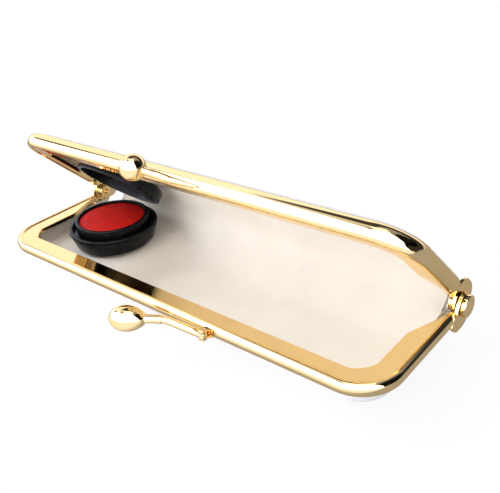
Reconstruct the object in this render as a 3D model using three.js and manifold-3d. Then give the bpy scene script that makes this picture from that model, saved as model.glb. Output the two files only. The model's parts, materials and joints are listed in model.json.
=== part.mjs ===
// A seal case: two dished halves in gilt sheet-metal frames, hinged at the back corners,
// with an ink pad whose lid opens with the case and a kiss-lock clasp on the front.
// Millimetres, +Z up. The origin is the middle of the flat base that the case rests on,
// +X runs along the case, and the mouth faces -Y.
import * as THREE from 'three';
import { mergeVertices } from 'three/addons/utils/BufferGeometryUtils.js';
import Module from 'manifold-3d';

// Driving dimensions of the case.
const caseLength = 105; // outside of the frame, end to end
const frameDepth = 30.7; // hinge axis to the front face of the frame
const frontCorner = 8.4; // plan radius of the frame's front corners
const openAngle = 45; // degrees that the upper half stands open

// Frame section. Heights count from the mating plane towards the fabric.
const sheet = 0.55;
const lowerWall = 3.3;
const upperWall = 3.75;
const matingGap = 0.15; // from the mating plane to each frame
const beadWidth = 1.0; // raised rim outside the flange
const flangeStep = 0.3; // the flange lies this far below the rim
const lowerFlange = 4.7; // flange's width along the front
const upperFlange = 5.2;
const flangeArm = 5.0;
const flangeCorner = 0.45; // extra width in the front corners
const flangeEnd = 1.7; // the flange narrows to this at the hinge
const flangeLip = 0.9; // hem turned down at the flange's inner edge
const edgeRound = 0.6;
const curlRound = 1.0;
const curlReach = 1.5;
const taperStart = 12.5; // distance from the hinge axis where the flange starts to narrow
const taperEnd = 3.8;

// Hinge.
const earRadius = 2.4;
const lowerEarBack = 2.6; // the ear's lobe runs this far behind the axis
const lowerEarHeight = 4.6; // and stands this far off the mating plane
const lowerEarRise = 4.6; // it rises from the wall this far ahead of the axis
const upperEarBack = 4.2;
const upperEarHeight = 4.9;
const upperEarRise = 3;
const armStart = 3.1; // the folded section starts this far ahead of the axis
const jogEnd = 4.2; // the upper arms step inwards between these two
const jogStart = 6.0;
const rivetShank = 1.0;
const rivetHead = 2.2;
const rivetHeadHeight = 1.25;
const rivetFlare = 1.75;
const rivetFlareThick = 0.5;
const rivetHole = 0.65;
const rivetHoleDepth = 1.1;
const washerRadius = 2.0;
const washerThick = 0.4;
const runningGap = 0.3; // between pieces that turn on each other
const seatGap = 0.15; // between pieces that are glued, pressed or crimped

// Fabric-covered halves. Each is a dish of three skins.
const coverThick = 0.45;
const boardThick = 0.6;
const liningThick = 0.3;
const lowerDepth = 11.3; // mating plane to the flat base
const upperDepth = 6.4; // mating plane to the top of the lid half
const lowerFlank = 9.3; // width of the curved flank in plan
const upperFlank = 12;
const backFlank = 8; // the same behind, where nothing shows it
const lowerFullness = 1.5; // exponent of the flank's curve, 2 is an ellipse
const upperFullness = 1.25;
const skirt = 0.1; // the flank starts this far past the frame's wall
const backReach = 3.2; // the halves reach this far behind the hinge axis
const backCorner = 3.0;
const crownCorner = 4.0; // plan radius where the flank meets the flat
const reliefStart = 6.2; // behind this line the skins' rim is cut down to clear the hinge
const reliefGap = 0.25; // from the taller wall to the cut rim
const spineGap = 2.5; // degrees between the spine and each half

// Ink pad.
const padInEnd = 19; // frame's left end to the pad's centre
const padY = -11.4; // from the hinge axis
const padRadius = 10.85;
const padBottom = 4.35; // below the mating plane
const padRimHeight = 4.45; // height of the base's outer rim over its bottom
const collarStep = 1.9; // the pad's outside to the collar's
const collarWall = 0.75;
const collarHeight = 6.25;
const padWall = 0.85;
const padFloor = 1.4;
const grooveDepth = 1.1;
const inkDrop = 0.75; // the collar's top to the ink pad's edge
const inkCrown = 0.4; // the pad's middle stands this far over its edge
const cupDrop = 1.5; // the collar's top to the cup's rim
const cupWall = 0.3;
const tapeThick = 0.3;
const tapeInset = 2.35; // the pad's outside to the tape's edge
const lidInset = 0.15; // and to the lid's
const lidTop = 3.65; // above the mating plane when shut
const lidWall = 0.9;
const lidRound = 1.3;
const lidRim = 0.45;
const linerThick = 0.25;
const foamRadius = 5;
const seatRampTop = 11.6; // ramp of the pad's seat, from the pad's centre
const seatRampRun = 6;

// Clasp.
const ballRadius = 2.73;
const ballX = -6.2;
const ballOut = 3.3; // from the frame's front face to the ball's centre
const ballRise = 0.63; // the ball's centre over the mating plane
const hornRadius = 0.78;
const hornTip = 8.5; // X where the horn runs out on the frame's face
const hornHeight = 0.95;
const hornSlope = 0.7; // towards the face, from the ball's centre to the horn's elbow
const stemRadius = 0.88; // the lever from the egg to its bend
const leverWire = 0.76; // and from the bend to the pin
const leverOut = 1.4; // front face to the lever's pin
const leverDrop = 1.35; // mating plane to the lever's centre line
const pinX = 16.2;
const pinRadius = 0.42;
const pinHead = 0.6;
const eyeRadius = 0.9;
const eyeThick = 1.1;
const tabThick = 0.3;
const tabRound = 0.75;
const pinPlay = 0.1; // round the pin, and above and below the eye
const bendX = 6.4;
const bendOut = 1.8; // front face to the bend
const bendRun = 1.6; // the bend takes this much of each leg
const eggX = -0.2;
const eggOut = 5.4;
const eggDrop = 1.5;
const eggLength = 7.9;
const eggRadius = 2.7;
const socketDepth = 1.7;
const socketGap = 0.12;

// Values that follow from the driving ones.
const halfLength = caseLength / 2;
const padX = padInEnd - halfLength;
const front = -frameDepth;
const flangeTop = matingGap + flangeStep;
const earJog = sheet + runningGap;
const skinInset = curlReach + seatGap;
const rimHeight = flangeTop + flangeLip + seatGap; // the skins start here, in the frame's channel
const hingeHeight = lowerDepth;
const crownY = (front + skinInset + backReach) / 2;
const collarRadius = padRadius - collarStep;
const tapeRadius = padRadius - tapeInset;
const lidRadius = padRadius - lidInset;
const boardOffset = coverThick + seatGap;
const liningOffset = boardOffset + boardThick + seatGap;
const insideOffset = liningOffset + liningThick;
const reliefHeight = Math.max(lowerWall, upperWall) + reliefGap;
const degrees = Math.PI / 180;

const wasm = await Module();
wasm.setup();

// A solid from a geometry: shared vertices merged and faces turned outwards.
function closed(geometry) {
  geometry.deleteAttribute('normal');
  geometry.deleteAttribute('uv');
  const merged = mergeVertices(geometry, 1e-4);
  const position = merged.attributes.position;
  const index = Array.from(merged.index.array);
  const corner = [new THREE.Vector3(), new THREE.Vector3(), new THREE.Vector3()];
  const kept = [];
  let volume = 0;
  for (let i = 0; i < index.length; i += 3) {
    const face = [index[i], index[i + 1], index[i + 2]];
    if (face[0] === face[1] || face[1] === face[2] || face[2] === face[0]) continue;
    corner.forEach((point, k) => point.fromBufferAttribute(position, face[k]));
    volume += corner[0].dot(corner[1].clone().cross(corner[2]));
    kept.push(face);
  }
  const faces = volume < 0 ? kept.map((face) => [face[0], face[2], face[1]]) : kept;
  merged.setIndex(faces.flat());
  return merged;
}

function toSolid(geometry) {
  const merged = closed(geometry);
  const mesh = new wasm.Mesh({
    numProp: 3,
    vertProperties: new Float32Array(merged.attributes.position.array),
    triVerts: new Uint32Array(merged.index.array),
  });
  return new wasm.Manifold(mesh);
}

function fromSolid(solid) {
  const mesh = solid.getMesh();
  const geometry = new THREE.BufferGeometry();
  geometry.setAttribute('position', new THREE.BufferAttribute(new Float32Array(mesh.vertProperties), 3));
  geometry.setIndex(Array.from(mesh.triVerts));
  return geometry;
}

const joined = (first, second) => fromSolid(toSolid(first).add(toSolid(second)));
const cut = (body, tool) => fromSolid(toSolid(body).subtract(toSolid(tool)));
const shared = (first, second) => fromSolid(toSolid(first).intersect(toSolid(second)));

// A skin through rings of equally many points, with both ends closed by a fan.
function loft(rings) {
  const count = rings[0].length;
  const points = rings.flat();
  const index = [];
  for (let r = 0; r + 1 < rings.length; r++) {
    for (let i = 0; i < count; i++) {
      const a = r * count + i;
      const b = r * count + ((i + 1) % count);
      index.push(a, b, b + count, a, b + count, a + count);
    }
  }
  const capEnd = (ring, start, turned) => {
    const centre = ring.reduce((sum, p) => sum.add(p), new THREE.Vector3()).divideScalar(count);
    points.push(centre);
    for (let i = 0; i < count; i++) {
      const a = start + i;
      const b = start + ((i + 1) % count);
      index.push(...(turned ? [points.length - 1, a, b] : [points.length - 1, b, a]));
    }
  };
  capEnd(rings[0], 0, false);
  capEnd(rings[rings.length - 1], (rings.length - 1) * count, true);
  const geometry = new THREE.BufferGeometry().setFromPoints(points);
  geometry.setIndex(index);
  return geometry;
}

// The same, for a section that isn't star-shaped: the ends are triangulated as outlines.
function sweep(stations, sectionAt) {
  const rings = stations.map((station) => sectionAt(station).map(([inward, height]) => new THREE.Vector3(
    station.x + station.nx * inward,
    station.y + station.ny * inward,
    height,
  )));
  const count = rings[0].length;
  const index = [];
  for (let r = 0; r + 1 < rings.length; r++) {
    for (let i = 0; i < count; i++) {
      const a = r * count + i;
      const b = r * count + ((i + 1) % count);
      index.push(a, b, b + count, a, b + count, a + count);
    }
  }
  const endFaces = (station, start, reversed) => {
    const outline = sectionAt(station).map(([inward, height]) => new THREE.Vector2(inward, height));
    const around = THREE.ShapeUtils.area(outline);
    for (const [a, b, c] of THREE.ShapeUtils.triangulateShape(outline.slice(), [])) {
      const follows = THREE.ShapeUtils.area([outline[a], outline[b], outline[c]]) * around > 0;
      const face = follows === reversed ? [a, c, b] : [a, b, c];
      index.push(...face.map((k) => k + start));
    }
  };
  endFaces(stations[0], 0, true);
  endFaces(stations[stations.length - 1], (rings.length - 1) * count, false);
  const geometry = new THREE.BufferGeometry().setFromPoints(rings.flat());
  geometry.setIndex(index);
  return geometry;
}

// Turns heights above the mating plane into the lower half's, which hang below it.
const mirrored = (geometry, side) => geometry.scale(1, 1, side);

// An outline in (y, z) pushed along X.
function alongX(shape, from, to, curveSegments = 12) {
  const geometry = new THREE.ExtrudeGeometry(shape, { depth: to - from, bevelEnabled: false, curveSegments });
  const basis = new THREE.Matrix4().makeBasis(
    new THREE.Vector3(0, 1, 0),
    new THREE.Vector3(0, 0, 1),
    new THREE.Vector3(1, 0, 0),
  );
  return geometry.applyMatrix4(basis).translate(from, 0, 0);
}

function turned(profile, segments = 28) {
  return new THREE.LatheGeometry(profile.map(([r, z]) => new THREE.Vector2(r, z)), segments);
}

const onZ = (geometry) => geometry.rotateX(Math.PI / 2);
const onX = (geometry) => geometry.rotateZ(-Math.PI / 2);

function box(x0, x1, y0, y1, z0, z1) {
  const geometry = new THREE.BoxGeometry(x1 - x0, y1 - y0, z1 - z0);
  return geometry.translate((x0 + x1) / 2, (y0 + y1) / 2, (z0 + z1) / 2);
}

// Finishes, one new material for each piece.
const finishes = {
  gilt: { color: 0xe0b15f, roughness: 0.14, metalness: 1 },
  cover: { color: 0xe9e4da, roughness: 0.7, metalness: 0 },
  board: { color: 0xb9ab95, roughness: 0.9, metalness: 0 },
  lining: { color: 0xf7efe0, roughness: 0.85, metalness: 0 },
  paper: { color: 0xcdb88f, roughness: 0.95, metalness: 0 },
  black: { color: 0x1b1c1f, roughness: 0.3, metalness: 0 },
  ink: { color: 0xc4241c, roughness: 0.75, metalness: 0 },
  tin: { color: 0xc9ccd0, roughness: 0.35, metalness: 1 },
  foam: { color: 0xf2f0ea, roughness: 0.95, metalness: 0 },
};

function piece(name, geometry, finish) {
  const mesh = new THREE.Mesh(closed(geometry), new THREE.MeshStandardMaterial(finishes[finish]));
  mesh.name = name;
  return mesh;
}

// The frame's plan, from the right arm round the front to the left arm. Each station has the
// outer face's place, the way inwards and the flange's width there.
function framePath(half, armEnd, jogAt) {
  const arm = (x, y, width) => ({ x, y, nx: -Math.sign(x), ny: 0, width });
  const armStops = [armEnd, jogEnd, jogStart, taperStart].filter((stop, i) => i === 0 || stop > armEnd + 0.1);
  const armWidth = (stop) => THREE.MathUtils.lerp(
    flangeEnd,
    flangeArm,
    THREE.MathUtils.clamp((stop - taperEnd) / (taperStart - taperEnd), 0, 1),
  );
  const right = armStops.map((stop) => arm(halfLength - jogAt(stop), -stop, armWidth(stop)));
  const steps = 8;
  const corner = [];
  for (let i = 0; i <= steps; i++) {
    const angle = (i / steps) * (Math.PI / 2);
    corner.push({
      x: halfLength - frontCorner * (1 - Math.cos(angle)),
      y: front + frontCorner * (1 - Math.sin(angle)),
      nx: -Math.cos(angle),
      ny: Math.sin(angle),
      width: THREE.MathUtils.lerp(flangeArm, half.flange, i / steps) + flangeCorner * Math.sin(2 * angle),
    });
  }
  const rightHalf = [...right, ...corner];
  const leftHalf = rightHalf.map((stop) => ({ ...stop, x: -stop.x, nx: -stop.nx })).reverse();
  return [...rightHalf, ...leftHalf];
}

// Quarter arc in the section, from one heading to the next.
function sectionArc(cx, cz, radius, from, to, steps = 3) {
  const points = [];
  for (let i = 0; i <= steps; i++) {
    const angle = THREE.MathUtils.lerp(from, to, i / steps) * degrees;
    points.push([cx + radius * Math.cos(angle), cz + radius * Math.sin(angle)]);
  }
  return points;
}

function frameSection(station, wallHeight) {
  const inner = station.width;
  const under = flangeTop + sheet;
  return [
    [inner, flangeTop + flangeLip],
    [inner, flangeTop + 0.15],
    [inner - 0.15, flangeTop],
    [beadWidth + 0.12, flangeTop],
    [beadWidth, flangeTop - 0.1],
    [beadWidth - 0.12, matingGap],
    ...sectionArc(edgeRound, matingGap + edgeRound, edgeRound, 270, 180),
    ...sectionArc(curlRound, wallHeight - curlRound, curlRound, 180, 90),
    [curlReach, wallHeight],
    [curlReach, wallHeight - sheet],
    [curlRound, wallHeight - sheet],
    [sheet, wallHeight - curlRound],
    [sheet, under],
    [inner - sheet, under],
    [inner - sheet, flangeTop + flangeLip],
  ];
}

// Ear at the end of an arm: a disc round the rivet, joined to the arm's wall.
function ear(outer, side, half) {
  const { wall: wallHeight, earBack, earHeight, earRise } = half;
  const wall = new THREE.Shape();
  wall.moveTo(-armStart - 0.8, matingGap + edgeRound);
  wall.lineTo(-armStart - 0.8, wallHeight - curlRound);
  wall.lineTo(-earRise, wallHeight - curlRound);
  wall.quadraticCurveTo(-earRise + 0.4, earHeight - 0.2, -earRise + 1.6, earHeight);
  wall.lineTo(-earRadius / 2, earHeight);
  wall.quadraticCurveTo(earBack * 0.6, earHeight, earBack, earRadius);
  wall.lineTo(earBack, matingGap);
  wall.lineTo(-armStart + 0.2, matingGap + 0.2);
  const disc = new THREE.Shape();
  disc.absarc(0, 0, earRadius, 0, 2 * Math.PI);
  const bore = new THREE.Shape();
  bore.absarc(0, 0, rivetShank + runningGap, 0, 2 * Math.PI);
  const from = side > 0 ? outer - sheet : -outer;
  const plate = joined(alongX(wall, from, from + sheet, 6), alongX(disc, from, from + sheet, 14));
  return cut(plate, alongX(bore, from - 1, from + sheet + 1, 10));
}

// jog sets an arm's ends inwards so that the upper ears lie inside the lower ones.
function frame(half, jog) {
  const jogAt = (stop) => jog * (1 - THREE.MathUtils.clamp((stop - jogEnd) / (jogStart - jogEnd), 0, 1));
  const body = sweep(framePath(half, armStart, jogAt), (station) => frameSection(station, half.wall));
  const withRight = joined(body, ear(halfLength - jog, 1, half));
  return mirrored(joined(withRight, ear(halfLength - jog, -1, half)), half.side);
}

// Paper cord crimped between the frame's wall and the cover.
function crimpCord(half) {
  const radius = (curlReach - sheet) / 2 - 0.05;
  const middle = sheet + seatGap / 2 + radius;
  const height = flangeTop + sheet + seatGap + radius;
  const stations = framePath(half, reliefStart + 0.4, () => 0);
  const ring = () => sectionArc(middle, height, radius, 0, 300, 5);
  return mirrored(sweep(stations, ring), half.side);
}

// Plan of one half at a given inset from the frame's outer face.
function plan(inset, backInset, frontRadius, backRadius, height) {
  const right = halfLength - inset;
  const low = front + inset;
  const high = backReach + skinInset - backInset;
  const steps = 5;
  const corners = [
    [right - backRadius, high - backRadius, backRadius, 0],
    [-right + backRadius, high - backRadius, backRadius, 90],
    [-right + frontRadius, low + frontRadius, frontRadius, 180],
    [right - frontRadius, low + frontRadius, frontRadius, 270],
  ];
  return corners.flatMap(([cx, cy, radius, start]) => sectionArc(cx, cy, radius, start, start + 90, steps)
    .map(([x, y]) => new THREE.Vector3(x, y, height)));
}

// Rings of a half's surface, moved in from the outside by offset. Each point of the profile has
// its inset at the front and sides, its inset behind, its height and its share of the flank.
function dishRings(half, offset, start = rimHeight) {
  const { depth, flank, fullness } = half;
  const flankStart = half.wall + skirt;
  const profile = [
    { inset: skinInset, back: skinInset, height: start, share: 0 },
    { inset: skinInset, back: skinInset, height: flankStart, share: 0 },
  ];
  const steps = 6;
  for (let i = 1; i <= steps; i++) {
    const angle = (i / steps) * (Math.PI / 2);
    const across = 1 - Math.cos(angle) ** (2 / fullness);
    const down = Math.sin(angle) ** (2 / fullness);
    profile.push({
      inset: skinInset + flank * across,
      back: skinInset + backFlank * across,
      height: flankStart + (depth - flankStart) * down,
      share: i / steps,
    });
  }
  const last = profile.length - 1;
  const inwards = (i, key) => {
    if (i < 2) return new THREE.Vector2(0, 1);
    if (i === last) return new THREE.Vector2(1, 0);
    const [before, after] = [profile[i - 1], profile[i + 1]];
    return new THREE.Vector2(after[key] - before[key], after.height - before.height).normalize();
  };
  const moved = profile.map(({ inset, back, height, share }, i) => {
    const less = offset * inwards(i, 'inset').y;
    const lessBack = offset * inwards(i, 'back').y;
    const lower = offset * inwards(i, 'inset').x;
    return { inset: inset + less, back: back + lessBack, height: height - lower, share, less, lessBack };
  });
  // An inner surface meets its straight skirt further along the flank than the outer one does.
  const [, edge, bend, next] = moved;
  const along = Math.max(0, (edge.inset + 0.05 - bend.inset) / (next.inset - bend.inset));
  for (const key of Object.keys(bend)) bend[key] = THREE.MathUtils.lerp(bend[key], next[key], along);
  bend.back = Math.max(bend.back, edge.back + 0.05);
  edge.height = Math.min(flankStart, bend.height - 0.1);
  return moved.map(({ inset, back, height, share, less, lessBack }) => plan(
    inset,
    back,
    THREE.MathUtils.lerp(frontCorner - skinInset, crownCorner, share) - less,
    THREE.MathUtils.lerp(backCorner, crownCorner, share) - lessBack,
    height,
  ));
}

function skin(half, offset, thickness) {
  const outside = dishRings(half, offset).reverse();
  const inside = dishRings(half, offset + thickness);
  const relief = box(-halfLength, halfLength, -reliefStart, 2 * backReach, -1, reliefHeight);
  return mirrored(cut(loft([...outside, ...inside]), relief), half.side);
}

const lowerHalf = {
  side: -1,
  wall: lowerWall,
  flange: lowerFlange,
  depth: lowerDepth,
  flank: lowerFlank,
  fullness: lowerFullness,
  earBack: lowerEarBack,
  earHeight: lowerEarHeight,
  earRise: lowerEarRise,
};
const upperHalf = {
  side: 1,
  wall: upperWall,
  flange: upperFlange,
  depth: upperDepth,
  flank: upperFlank,
  fullness: upperFullness,
  earBack: upperEarBack,
  earHeight: upperEarHeight,
  earRise: upperEarRise,
};

// Fabric spine behind the hinge, drawn at the rest pose: a strip bent round the hinge axis.
function spine(outer, thickness) {
  const low = -Math.atan2(reliefHeight, backReach) + spineGap * degrees;
  const high = Math.atan2(reliefHeight, backReach) - (openAngle + spineGap) * degrees;
  const strip = new THREE.Shape();
  strip.absarc(0, 0, outer, low, high, false);
  strip.absarc(0, 0, outer - thickness, high, low, true);
  const reach = halfLength - skinInset - backCorner;
  return alongX(strip, -reach, reach, 10);
}

// Block under the ink pad, shaped to the lower dish, with a ramp down to the seal's bed.
function padSeat() {
  const top = -(padBottom + tapeThick + 2 * seatGap);
  const ramp = padX + seatRampTop;
  const outline = new THREE.Shape();
  outline.moveTo(-halfLength, top);
  outline.lineTo(ramp - 1.2, top);
  outline.quadraticCurveTo(ramp, top, ramp + 0.8, top - 0.7);
  outline.lineTo(ramp + seatRampRun, -lowerDepth);
  outline.lineTo(-halfLength, -lowerDepth);
  const block = new THREE.ExtrudeGeometry(outline, { depth: 2 * frameDepth, bevelEnabled: false, curveSegments: 4 });
  block.rotateX(Math.PI / 2).translate(0, frameDepth / 2, 0);
  const room = mirrored(loft(dishRings(lowerHalf, insideOffset + seatGap, lowerWall)), -1);
  return shared(block, room);
}

// Black base of the ink pad: outer rim, groove for the lid, raised collar round the ink.
function padBase() {
  const rim = padRimHeight;
  const groove = rim - grooveDepth;
  const profile = [
    [0, 0],
    [padRadius - 1.4, 0],
    [padRadius - 0.95, 0.35],
    [padRadius - 0.08, rim - 0.95],
    [padRadius, rim - 0.6],
    [padRadius, rim - 0.2],
    [padRadius - 0.2, rim],
    [padRadius - padWall, rim],
    [padRadius - padWall, groove],
    [collarRadius, groove],
    [collarRadius, collarHeight - 0.3],
    [collarRadius - 0.25, collarHeight],
    [collarRadius - collarWall + 0.15, collarHeight],
    [collarRadius - collarWall, collarHeight - 0.15],
    [collarRadius - collarWall, padFloor],
    [0, padFloor],
  ];
  return onZ(turned(profile));
}

function inkCup() {
  const outer = collarRadius - collarWall - seatGap;
  const low = padFloor + seatGap;
  const rim = collarHeight - cupDrop;
  const profile = [
    [0, low],
    [outer, low],
    [outer, rim],
    [outer - cupWall, rim],
    [outer - cupWall, low + cupWall],
    [0, low + cupWall],
  ];
  return onZ(turned(profile));
}

function inkPad() {
  const wide = collarRadius - collarWall - seatGap - 0.05;
  const neck = wide - cupWall - seatGap;
  const low = padFloor + cupWall + 2 * seatGap;
  const shoulder = collarHeight - cupDrop + seatGap;
  const edge = collarHeight - inkDrop;
  const profile = [[0, low], [neck, low], [neck, shoulder], [wide, shoulder], [wide, edge]];
  for (let i = 1; i <= 4; i++) {
    const angle = (i / 4) * (Math.PI / 2);
    profile.push([i === 4 ? 0 : wide * Math.cos(angle), edge + inkCrown * Math.sin(angle)]);
  }
  return onZ(turned(profile));
}

function padLid() {
  const profile = [
    [lidRadius - lidWall, lidRim],
    [lidRadius - 0.12, lidRim],
    [lidRadius, lidRim + 0.12],
    ...sectionArc(lidRadius - lidRound, lidTop - lidRound, lidRound, 0, 90, 4),
    [0, lidTop],
    [0, lidTop - lidWall],
    [lidRadius - lidWall - 0.4, lidTop - lidWall],
    [lidRadius - lidWall, lidTop - lidWall - 0.4],
    [lidRadius - lidWall, lidRim],
  ];
  return onZ(turned(profile));
}

function disc(radius, low, high, segments = 28) {
  return onZ(turned([[0, low], [radius, low], [radius, high], [0, high]], segments));
}

// Domed outside, rolled over inside, with the hollow of a tubular rivet.
function rivet() {
  const headSeat = halfLength + seatGap;
  const flareOuter = halfLength - 2 * sheet - runningGap - washerThick - 2 * seatGap;
  const flareInner = flareOuter - rivetFlareThick;
  const profile = [
    [0, flareInner + rivetHoleDepth],
    [rivetHole, flareInner + rivetHoleDepth],
    [rivetHole, flareInner + 0.1],
    [rivetHole + 0.2, flareInner],
    [rivetFlare - 0.2, flareInner],
    [rivetFlare, flareInner + 0.25],
    [rivetFlare - 0.1, flareOuter],
    [rivetShank, flareOuter],
    [rivetShank, headSeat],
    [rivetHead, headSeat],
    [rivetHead, headSeat + 0.25],
  ];
  for (let i = 1; i <= 4; i++) {
    const angle = (i / 4) * (Math.PI / 2);
    const rise = (rivetHeadHeight - 0.25) * Math.sin(angle);
    profile.push([i === 4 ? 0 : rivetHead * Math.cos(angle), headSeat + 0.25 + rise]);
  }
  return onX(turned(profile, 20));
}

function washer() {
  const outer = halfLength - 2 * sheet - runningGap - seatGap;
  const inner = outer - washerThick;
  const bore = rivetShank + seatGap;
  const profile = [[bore, inner], [washerRadius, inner], [washerRadius, outer], [bore, outer], [bore, inner]];
  return onX(turned(profile, 20));
}

// A round bar through points, its radius given along the way.
function bar(curve, radiusAt, steps, sides = 10) {
  const frames = curve.computeFrenetFrames(steps, false);
  const rings = [];
  for (let i = 0; i <= steps; i++) {
    const centre = curve.getPointAt(i / steps);
    const ring = [];
    for (let k = 0; k < sides; k++) {
      const angle = (k / sides) * 2 * Math.PI;
      const arm = frames.normals[i].clone().multiplyScalar(Math.cos(angle));
      arm.addScaledVector(frames.binormals[i], Math.sin(angle)).multiplyScalar(radiusAt(i / steps));
      ring.push(centre.clone().add(arm));
    }
    rings.push(ring);
  }
  return loft(rings);
}

// A knob turned round +Y with a blind socket at its foot, then aimed and placed.
function knob(radii, length, socketRadius, aim, centre) {
  const steps = 10;
  const profile = [[0, -length / 2 + socketDepth], [socketRadius, -length / 2 + socketDepth]];
  const foot = Math.acos(Math.min(1, (socketRadius + 0.25) / radii(0.5)));
  for (let i = 0; i <= steps; i++) {
    const angle = THREE.MathUtils.lerp(-foot, Math.PI / 2, i / steps);
    const along = Math.sin(angle) / 2;
    const radius = i === steps ? 0 : radii(along + 0.5) * Math.cos(angle);
    if (i === 0) profile.push([socketRadius, along * length]);
    profile.push([radius, along * length]);
  }
  const geometry = turned(profile, 24);
  const turn = new THREE.Quaternion().setFromUnitVectors(new THREE.Vector3(0, 1, 0), aim);
  geometry.applyQuaternion(turn);
  return geometry.translate(centre.x, centre.y, centre.z);
}

// The horn leaves the ball on its socket's axis, then bends to lie along the frame's face.
const ballCentre = new THREE.Vector3(ballX, front - ballOut, ballRise);
const hornElbow = new THREE.Vector3(
  ballX + ballRadius + 1.4,
  front - ballOut + hornSlope,
  ballRise + 0.1,
);
const ballAim = ballCentre.clone().sub(hornElbow).normalize();
const hornStart = ballCentre.clone().addScaledVector(ballAim, -ballRadius + socketDepth - 0.25);
const hornLand = new THREE.Vector3(hornTip - 5.5, front - hornRadius - seatGap, hornHeight - 0.1);
const hornFoot = new THREE.Vector3(hornTip, front - hornRadius * 0.45 - seatGap, hornHeight);
const hornPath = new THREE.CurvePath();
hornPath.add(new THREE.LineCurve3(hornStart, hornElbow));
hornPath.add(new THREE.CubicBezierCurve3(
  hornElbow,
  hornElbow.clone().addScaledVector(ballAim, -2),
  hornLand.clone().add(new THREE.Vector3(-2, -0.1, -0.1)),
  hornLand,
));
hornPath.add(new THREE.LineCurve3(hornLand, hornFoot));

function horn() {
  const radiusAt = (t) => hornRadius * (t < 0.6 ? 1 : 1 - 0.6 * ((t - 0.6) / 0.4));
  return bar(hornPath, radiusAt, 16);
}

function ballKnob() {
  return knob(() => ballRadius, 2 * ballRadius, hornRadius + socketGap, ballAim, ballCentre);
}

const leverY = front - leverOut;
const bend = new THREE.Vector3(bendX, front - bendOut, -leverDrop);
const eggCentre = new THREE.Vector3(eggX, front - eggOut, -eggDrop);
const eggAim = eggCentre.clone().sub(bend).normalize();
const pinPlace = new THREE.Vector3(pinX, leverY, -leverDrop);

// Bent wire from the eye on the pin to the inside of the egg, with the eye joined on.
function lever() {
  const wireEnd = eggCentre.clone().addScaledVector(eggAim, -eggLength / 2 + socketDepth - 0.25);
  const armAim = bend.clone().sub(pinPlace).normalize();
  const before = bend.clone().addScaledVector(armAim, -bendRun);
  const after = bend.clone().addScaledVector(eggAim, bendRun);
  const path = new THREE.CurvePath();
  path.add(new THREE.LineCurve3(pinPlace.clone().addScaledVector(armAim, eyeRadius * 0.7), before));
  path.add(new THREE.QuadraticBezierCurve3(before, bend, after));
  path.add(new THREE.LineCurve3(after, wireEnd));
  const radiusAt = (t) => THREE.MathUtils.lerp(leverWire, stemRadius, THREE.MathUtils.smoothstep(t, 0.45, 0.62));
  const wire = bar(path, radiusAt, 16, 12);
  const eye = disc(eyeRadius, -eyeThick / 2, eyeThick / 2, 20).translate(pinPlace.x, pinPlace.y, pinPlace.z);
  const bore = disc(pinRadius + pinPlay, -3, 3, 16).translate(pinPlace.x, pinPlace.y, pinPlace.z);
  const flat = box(pinX - eyeRadius, pinX + 3, leverY - 3, leverY + 3, eyeThick / 2, 3).translate(0, 0, -leverDrop);
  const under = box(pinX - eyeRadius, pinX + 3, leverY - 3, leverY + 3, -3, -eyeThick / 2).translate(0, 0, -leverDrop);
  return cut(cut(cut(joined(wire, eye), flat), under), bore);
}

function eggKnob() {
  const taper = (t) => eggRadius * (0.8 + 0.2 * Math.sin(Math.min(1, t / 0.72) * Math.PI / 2));
  return knob(taper, eggLength, stemRadius + socketGap, eggAim, eggCentre);
}

// Clevis brazed to the front of the lower frame: a foot and two tabs that hold the pin.
function bracket() {
  const tabGap = eyeThick / 2 + pinPlay;
  const footBack = front - seatGap;
  const footFront = footBack - 0.3;
  const right = pinX + eyeRadius + 0.6;
  let body = toSolid(box(pinX - 0.7, right, footFront, footBack, -tabGap - tabThick, tabGap + tabThick));
  for (const side of [-1, 1]) {
    const low = side > 0 ? tabGap : -tabGap - tabThick;
    const tab = box(pinX - tabRound * 0.9, pinX + tabRound * 0.9, leverY, footBack, low, low + tabThick);
    const round = disc(tabRound, low, low + tabThick, 16).translate(pinX, leverY, 0);
    body = body.add(toSolid(tab)).add(toSolid(round));
  }
  const bore = disc(pinRadius + pinPlay, -4, 4, 16).translate(pinX, leverY, 0);
  return fromSolid(body.subtract(toSolid(bore))).translate(0, 0, -leverDrop);
}

function pin() {
  const reach = eyeThick / 2 + pinPlay + tabThick;
  const profile = [
    [0, -reach - 0.2],
    [pinHead - 0.12, -reach - 0.2],
    [pinHead, -reach - 0.08],
    [pinHead, -reach - 0.04],
    [pinRadius, -reach - 0.04],
    [pinRadius, reach + 0.04],
    [pinHead, reach + 0.04],
    [pinHead, reach + 0.08],
    [pinHead - 0.12, reach + 0.2],
    [0, reach + 0.2],
  ];
  return onZ(turned(profile, 16)).translate(pinPlace.x, pinPlace.y, pinPlace.z);
}

const lower = new THREE.Group();
lower.add(
  piece('lower_frame', frame(lowerHalf, 0), 'gilt'),
  piece('lower_cover', skin(lowerHalf, 0, coverThick), 'cover'),
  piece('lower_board', skin(lowerHalf, boardOffset, boardThick), 'board'),
  piece('lower_lining', skin(lowerHalf, liningOffset, liningThick), 'lining'),
  piece('lower_crimp_cord', crimpCord(lowerHalf), 'paper'),
  piece('right_rivet', rivet(), 'gilt'),
  piece('left_rivet', rivet().scale(-1, 1, 1), 'gilt'),
  piece('right_washer', washer(), 'gilt'),
  piece('left_washer', washer().scale(-1, 1, 1), 'gilt'),
  piece('clasp_bracket', bracket(), 'gilt'),
  piece('clasp_pin', pin(), 'gilt'),
  piece('pad_seat', padSeat(), 'lining'),
  piece('spine_cover', spine(Math.hypot(backReach, reliefHeight), coverThick), 'cover'),
  piece('spine_lining', spine(Math.hypot(backReach, reliefHeight) - coverThick - 0.4, liningThick), 'lining'),
);

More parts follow.
